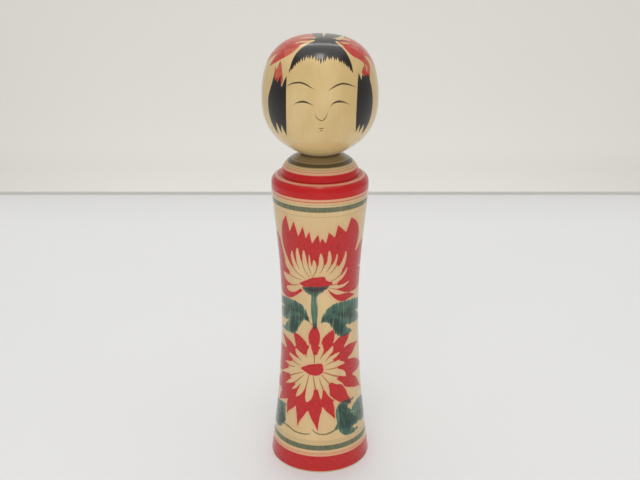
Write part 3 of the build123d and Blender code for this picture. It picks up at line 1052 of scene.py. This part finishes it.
def head_outline():
    """Outline from the tenon's tip, up the neck, round the chin and over to the crown's pole."""
    points = [(0, CHIN_HEIGHT), *HEAD_OUTLINE, (0, TOTAL_HEIGHT)]
    ball = natural_spline(points, HEAD_STEP, (1, 0), (-1, 0))
    underside = SEAT_HEIGHT + SEAT_GAP
    first = int(np.argmax(ball[:, 1] > underside))
    share = (underside - ball[first - 1, 1]) / (ball[first, 1] - ball[first - 1, 1])
    rim = ball[first - 1] + share * (ball[first] - ball[first - 1])
    tip = (TIP_RADIUS, TIP_HEIGHT)
    swell = (SWELL[0], SEAT_HEIGHT - SWELL[1])
    return joined(
        line((0, TIP_HEIGHT), tip, 2.0),
        spline([tip, swell, (NECK_RADIUS, SEAT_HEIGHT)], 5),
        line((NECK_RADIUS, SEAT_HEIGHT), (NECK_RADIUS, underside), 0.1),
        line((NECK_RADIUS, underside), rim, 1.0),
        np.vstack([rim, ball[first:]]),
    )


BROWS = [
    [(-16.2, 220.2, 0.06), (-14.2, 221.6, 0.28), (-11.5, 222.4, 0.4), (-8.8, 222.5, 0.44),
     (-6.3, 221.7, 0.36), (-4.4, 220.6, 0.2), (-2.7, 219.7, 0.05)],
    [(3.8, 218.9, 0.05), (5.8, 220.3, 0.26), (8.3, 221.5, 0.4), (11, 222, 0.44), (13.8, 221.4, 0.37),
     (16, 220.5, 0.2), (17.7, 219.7, 0.05)],
]
LIDS = [
    [(-12.4, 211.5, 0.05), (-10.6, 212.8, 0.24), (-8.6, 213.4, 0.54), (-6.8, 213.4, 0.56),
     (-5, 212.8, 0.26), (-2.9, 211.8, 0.05)],
    [(4.7, 211, 0.05), (5.8, 212.6, 0.24), (7.6, 213.4, 0.52), (9.3, 213.5, 0.58), (11.4, 212.9, 0.28),
     (14, 211.6, 0.05)],
]
NOSE = [
    (-2.1, 207.2, 0.08), (-1.4, 205.5, 0.17), (0.2, 204.3, 0.2), (1.4, 204.4, 0.2), (2.6, 205.8, 0.17),
    (3.4, 208, 0.06),
]
MOUTH = [
    [(-0.6, 200.2, 0.08), (0.6, 199.95, 0.32), (1.9, 200.2, 0.08)],
    [(0.2, 198.9, 0.1), (0.65, 198.7, 0.32), (1.1, 198.9, 0.1)],
]
LEFT_LOCK = (
    [(-17.1, 225.3), (-16.6, 220), (-16.3, 213), (-16.5, 206), (-17.1, 200), (-18.8, 194)],
    [(-20.2, 200.4), (-21.8, 195)], [(-23.5, 201.2), (-25.4, 193.6)],
    [(-25.4, 193.6), (-27.6, 199), (-28.9, 206), (-28.9, 212), (-27.5, 217), (-26.3, 221), (-25.8, 225.6)],
    [(-24.9, 223), (-24.2, 221.9)], [(-23.6, 223.4), (-22.7, 221.2)], [(-21.9, 222.6), (-21, 224.9)],
    [(-20.3, 222.6), (-19.4, 219.6), (-18.3, 222.8)],
)
RIGHT_LOCK = (
    [(20.8, 226.6), (19, 221), (18.1, 214), (17.8, 207), (18.3, 201), (19.5, 196)],
    [(21, 200.5), (22, 195.4)], [(24, 200), (25.8, 193.5)],
    [(25.8, 193.5), (28.2, 199), (29.6, 206), (29.8, 212), (29.2, 218), (28.5, 221.6), (29.1, 224.2)],
    [(28, 223.7), (27, 225.1)], [(26, 223.5), (25, 225.3)], [(24.1, 223.9), (23.2, 225.4)],
    [(22.5, 224.2), (21.9, 222.5), (21.4, 224.3)],
)
LEFT_TUFT = (
    [(-24.4, 231.6), (-22.2, 229.6), (-20.9, 227.5), (-19.8, 225.3), (-19, 222.9), (-19.6, 220.5)],
    [(-21.9, 219.8), (-24, 220.6)], [(-25.9, 222.5), (-26, 225.3), (-26.9, 228.8)],
    [(-25.6, 227.8), (-24.8, 227.2), (-24.6, 229)],
)
FRINGE_ROOT = [
    (-18.5, 28.5), (-16.4, 25.2), (-13.3, 21.1), (-9.8, 18), (-5.6, 15.1), (-2.7, 12.8), (-2.4, 9),
]
FRINGE_ROOT_RIGHT = [
    (7.4, 9), (7.8, 12.6), (9.7, 15.1), (13.1, 18.3), (16.6, 22.6), (18.5, 25.2), (19.7, 27.9),
]
FRINGE_EDGE = [
    (19.7, 27.9), (17.4, 27.1), (14, 26.1), (10.7, 25.5), (7.5, 25), (4, 25.7), (0.1, 26.9), (-3, 25.5),
    (-6, 24.8), (-9, 24.8), (-11.5, 25.6), (-15, 27), (-18.5, 28.5),
]
CROWN_INK = [
    [(2.6, 10, 5), (1.6, 5, 4.6), (0.4, 0, 4.3), (-0.5, -6, 3.8), (-2, -14, 3.2), (-4.5, -23, 1.6),
     (-6, -29, 0.1)],
    [(2.6, 10, 5), (4.5, 5, 4.4), (6.8, -1, 4.3), (8.2, -9, 3.8), (9.5, -18, 2.4), (10.5, -27, 0.1)],
    [(0, 10.7, 1.5), (-3.5, 10.7, 0.9), (-6.9, 9.8, 0.1)],
    [(6.5, 11.2, 1.3), (11, 9.4, 0.7), (14.8, 7.5, 0.1)],
]
CROWN_SLIT = [
    (1.9, 6.6, 0.05), (1.9, 2, 0.5), (2.2, -4, 1), (2.6, -12, 1.3), (2.8, -20, 1.8), (3, -30, 2.2),
]
LEFT_RIBBON = (
    [(-6.4, 13.4), (-9.7, 15.2), (-12.5, 17.6), (-16, 19.1), (-21, 18.4), (-26.1, 16.5), (-31.3, 12.9)],
    [(-27.8, 12.5), (-23.3, 11.3)], [(-26.6, 9), (-32.5, 5.6)], [(-31.2, 0), (-31, -5), (-34, -13)],
    [(-27.5, -9.5), (-29, -15), (-29.5, -22)], [(-22, -14), (-21.5, -20), (-22.5, -29)],
    [(-15.5, -15.5), (-13.5, -20), (-13, -27)],
    [(-9, -13), (-5.8, -6), (-3.6, 0), (-3, 6), (-3.6, 10.5)],
)
RIGHT_RIBBON = (
    [(9.2, 12.6), (11.3, 14.3), (13.6, 17), (17.3, 19), (21, 18.5), (24.6, 17.6), (26, 18)],
    [(25.7, 20.8), (25.6, 24)], [(29.5, 24), (32.6, 20.5)],
    [(32, 17.5), (31, 15.3), (30, 13.3), (28.4, 12.4), (24.6, 11.2)],
    [(27.5, 9), (30.2, 7.8), (35.6, 6.2)], [(34.6, 1), (34.8, -4), (38, -12)],
    [(31.5, -9), (33, -15), (33, -22)], [(25.5, -13.5), (25, -20), (26, -29)],
    [(19.5, -15), (18, -20), (18.2, -27)], [(14.6, -12.5), (12.6, -5), (12, 2), (11, 7), (8.6, 11.4)],
)
SLIVERS = [
    [(-12, 11.6, 0.5), (-9, 12, 0.9), (-6.3, 12.8, 0.75), (-3.4, 12.8, 0.3)],
    [(-10.4, 6.7, 0.3), (-8, 7, 0.85), (-6, 7.5, 1.05), (-3.5, 7.7, 0.65), (-0.4, 7.6, 0.1)],
    [(6.3, 8.4, 0.15), (9, 7.1, 0.95), (11.5, 6, 1.1), (14, 5.4, 0.7), (15.6, 5.1, 0.2)],
    [(10.4, 12, 0.15), (12.2, 11.5, 0.55), (14, 10.8, 0.5), (15.4, 10.3, 0.15)],
    [(26.6, 16.9, 0.15), (27.8, 17.5, 0.55), (28.6, 18.6, 0.5), (29.3, 20, 0.12)],
]
CENTRE_HAIR = [(0.4, 26.5, 0.6), (0.4, 28.2, 0.34), (0.4, 29.7, 0.05)]
CROWN_REACH = 60
SPIKE_COUNT = 27
SPIKE_SEED = 11
SPIKE_JITTER = 0.18
SPIKE_REACH = (1.3, 2.2)
SPIKE_ROOT = 0.6
SPIKE_LEAN = 0.05
SPIKE_STRAY = 0.1
SPIKE_WIDTHS = (0.48, 0.3, 0.04)
GAP_REACH = (0.9, 1.7)
GAP_ROOT = -0.4
GAP_LEAN = -0.05
GAP_WIDTHS = (0.28, 0.2, 0.04)
FRINGE_HALF = 26.0
BEND = 0.4


def tapering(x, y, root, reach, lean, widths):
    """Short tapering stroke from root behind a place to reach beyond it, leaning sideways."""
    middle = (x + lean * BEND, y + reach * BEND, widths[1])
    return [(x, y - root, widths[0]), middle, (x + lean, y + reach, widths[2])]


def fringe_spikes():
    """Short tapering hairs below the fringe's lower edge, and the bare gaps between their roots."""
    random = np.random.default_rng(SPIKE_SEED)
    edge = spline(FRINGE_EDGE, FRINGE_STEPS)
    length = np.r_[0, np.cumsum(np.hypot(*np.diff(edge, axis=0).T))]
    hairs = []
    gaps = []

    def edge_place(place):
        """Place on the fringe's edge, and how near it is to the middle, from 0 to 1."""
        x = np.interp(place, length, edge[:, 0])
        return x, np.interp(place, length, edge[:, 1]), 1 - (x / FRINGE_HALF) ** 2

    for index in range(SPIKE_COUNT):
        jitter = random.uniform(-SPIKE_JITTER, SPIKE_JITTER)
        place = (index + 0.5 + jitter) / SPIKE_COUNT * length[-1]
        x, y, nearness = edge_place(place)
        reach = random.uniform(*SPIKE_REACH) * nearness
        lean = SPIKE_LEAN * x + random.uniform(-SPIKE_STRAY, SPIKE_STRAY)
        hairs.append(tapering(x, y, SPIKE_ROOT, reach, lean, SPIKE_WIDTHS))
        x, y, nearness = edge_place(place + length[-1] / SPIKE_COUNT / 2)
        rise = random.uniform(*GAP_REACH) * nearness
        gaps.append(tapering(x, y, GAP_ROOT, -rise, GAP_LEAN * x, GAP_WIDTHS))
    return hairs + [CENTRE_HAIR], gaps


def paint_head(lathe, piece):
    """Stores the depth of ink and ribbon red, and the face's fine lines, on the head."""
    outside = lathe.run > lathe.first_run
    face = np.c_[lathe.turn * FACE_WRAP, lathe.height]
    face = np.where(outside[:, None], face, NOWHERE)
    from_pole = lathe.along[-1] - lathe.run
    crown = np.c_[from_pole * np.sin(lathe.turn), from_pole * np.cos(lathe.turn)]
    crown = np.where((outside & (from_pole < CROWN_REACH))[:, None], crown, NOWHERE)

    fringe = patch(crown, FRINGE_ROOT, FRINGE_ROOT_RIGHT, FRINGE_EDGE)
    bare = union([stroke(crown, path) for path in [CROWN_SLIT] + SLIVERS])
    hairs, gaps = fringe_spikes()
    hairs = [stroke(crown, path) for path in hairs]
    roots = union([stroke(crown, path) for path in gaps])
    top = union([fringe] + [stroke(crown, path) for path in CROWN_INK])
    top = np.minimum(top, -np.maximum(bare, roots))
    ink = union([top, patch(face, *LEFT_LOCK), patch(face, *RIGHT_LOCK)] + hairs)
    ribbons = np.maximum(patch(crown, *LEFT_RIBBON), patch(crown, *RIGHT_RIBBON))
    ribbon = np.maximum(np.minimum(ribbons, -bare), patch(face, *LEFT_TUFT))
    store(piece, "along", from_pole)
    store(piece, "ink", ink)
    store(piece, "ribbon", ribbon)
    store_lines(piece, "line_a", face, BROWS + LIDS + [NOSE, MOUTH[0]])
    store_lines(piece, "line_b", face, [MOUTH[1]])


def make_head():
    """Head with its hair, ribbons and face."""
    lathe = Lathe("head_wood", head_outline(), columns(*HEAD_COLUMNS))
    lathe.first_run = run_at(lathe, SEAT_RADIUS, SEAT_HEIGHT)
    lathe.last_run = lathe.along[-1]
    piece = lathe.build("head", "head")
    paint_head(lathe, piece)
    piece.data.materials.append(head_material())


# ---------------------------------------------------------------- studio


STUDIO_CLOUDS = (9, 2, 0.5)
STUDIO_SHADE = 0.985


def plain_material(name, colour, rough):
    """Plain matt surface for the studio."""
    graph = Graph(name)
    shade = tuple(value * STUDIO_SHADE for value in colour[:3]) + (1.0,)
    tone = graph.mix(graph.noise(*STUDIO_CLOUDS), colour, shade)
    graph.put(graph.shader.inputs["Base Color"], tone)
    graph.shader.inputs["Roughness"].default_value = rough
    return graph.material


def stage_sheet(name, corners, material):
    """Flat studio surface."""
    mesh = bpy.data.meshes.new(name)
    mesh.from_pydata(corners, [], [(0, 1, 2, 3)])
    mesh.materials.append(material)
    sheet = new_object(name, mesh)


def soft_light(name, place, target, size, power, mirrored):
    """Flat soft light at a place, facing a target. Mirrored lights show in the wax as highlights."""
    data = bpy.data.lights.new(name, "AREA")
    data.shape = "RECTANGLE"
    data.size = size[0]
    data.size_y = size[1]
    data.energy = power
    lamp = new_object(name, data)
    lamp.location = place
    direction = np.array(target) - np.array(place)
    flat = math.hypot(direction[0], direction[1])
    lamp.rotation_euler = (math.atan2(flat, -direction[2]), 0, math.atan2(-direction[0], direction[1]))
    lamp.visible_glossy = mirrored


TABLE_BACK = 0.5
# A thin grey strip at the table's back edge is painted shadow where the table meets the wall.
PAINTED_SHADOW_HEIGHT = 0.0035
TABLE_FRONT = 1.2
WALL_DISTANCE = 0.7
WALL_LOW = -0.6
WALL_HIGH = 0.9
ROOM = 3.0
TABLE_TONE = srgb(233, 233, 233)
WALL_TONE = srgb(222, 220, 213)
PAINTED_SHADOW_TONE = srgb(206, 205, 200)
TABLE_ROUGH = 0.6
WALL_ROUGH = 0.8
WORLD_STRENGTH = 0.46
DOLL = (0, 0, 0.12)
HEAD_BASE = (0, 0, 0.17)
CROWN = (0, 0, 0.24)
# Rows are name, place, target, size, watts, and whether it shows in the wax. Places are in metres.
LIGHTS = [
    ("overhead", (0, 0.03, 1.4), DOLL, (1.5, 1.2), 4.7, True),
    ("front", (-0.3, -1.55, 0.9), DOLL, (1.4, 1.0), 4.8, False),
    ("fill", (0.1, -1.2, 0.14), HEAD_BASE, (1.4, 0.24), 3.4, False),
    ("tube", (0, 0.85, 1.5), CROWN, (1.1, 0.1), 3.4, True),
    ("lamp", (0, -0.33, 1.75), CROWN, (0.3, 0.4), 3.6, True),
    ("wall_wash", (0, 0.5, -0.45), (0, WALL_DISTANCE, 0.1), (1.1, 0.15), 3.4, False),
]


def make_studio():
    """Pale table and wall, a thin grey strip of painted shadow where they meet, an even sky and plain soft
    lights.
    """
    floor = plain_material("studio_floor", TABLE_TONE, TABLE_ROUGH)
    wall = plain_material("studio_wall", WALL_TONE, WALL_ROUGH)
    corners = [(-ROOM, -TABLE_FRONT), (ROOM, -TABLE_FRONT), (ROOM, TABLE_BACK), (-ROOM, TABLE_BACK)]
    stage_sheet("floor", [(x, y, 0) for x, y in corners], floor)
    corners = [(-ROOM, WALL_LOW), (ROOM, WALL_LOW), (ROOM, WALL_HIGH), (-ROOM, WALL_HIGH)]
    stage_sheet("wall", [(x, WALL_DISTANCE, z) for x, z in corners], wall)
    # Painted shadow: a thin grey strip standing at the table's back edge, where it meets the wall.
    gap = plain_material("studio_painted_shadow", PAINTED_SHADOW_TONE, WALL_ROUGH)
    corners = [(-ROOM, 0), (ROOM, 0), (ROOM, PAINTED_SHADOW_HEIGHT), (-ROOM, PAINTED_SHADOW_HEIGHT)]
    stage_sheet("gap", [(x, TABLE_BACK, z) for x, z in corners], gap)
    world = bpy.data.worlds.new("studio")
    world.use_nodes = True
    sky = world.node_tree.nodes["Background"]
    sky.inputs["Color"].default_value = (1.0, 1.0, 1.0, 1.0)
    sky.inputs["Strength"].default_value = WORLD_STRENGTH
    bpy.context.scene.world = world
    for light in LIGHTS:
        soft_light(*light)


CAMERA_BACK = 0.4906
CAMERA_HEIGHT = 0.3101
CAMERA_TILT = 69.89
CAMERA_LENS = 53.44
SENSOR_WIDTH = 36.0


def make_camera():
    """Camera in front of the doll, looking down at it by about twenty degrees."""
    data = bpy.data.cameras.new("camera")
    data.lens = CAMERA_LENS
    data.sensor_width = SENSOR_WIDTH
    camera = new_object("camera", data)
    camera.location = (0, -CAMERA_BACK, CAMERA_HEIGHT)
    camera.rotation_euler = (math.radians(CAMERA_TILT), 0, 0)
    bpy.context.scene.camera = camera


make_camera()
make_studio()
make_body()
make_head()
bpy.context.scene.view_settings.view_transform = "Standard"
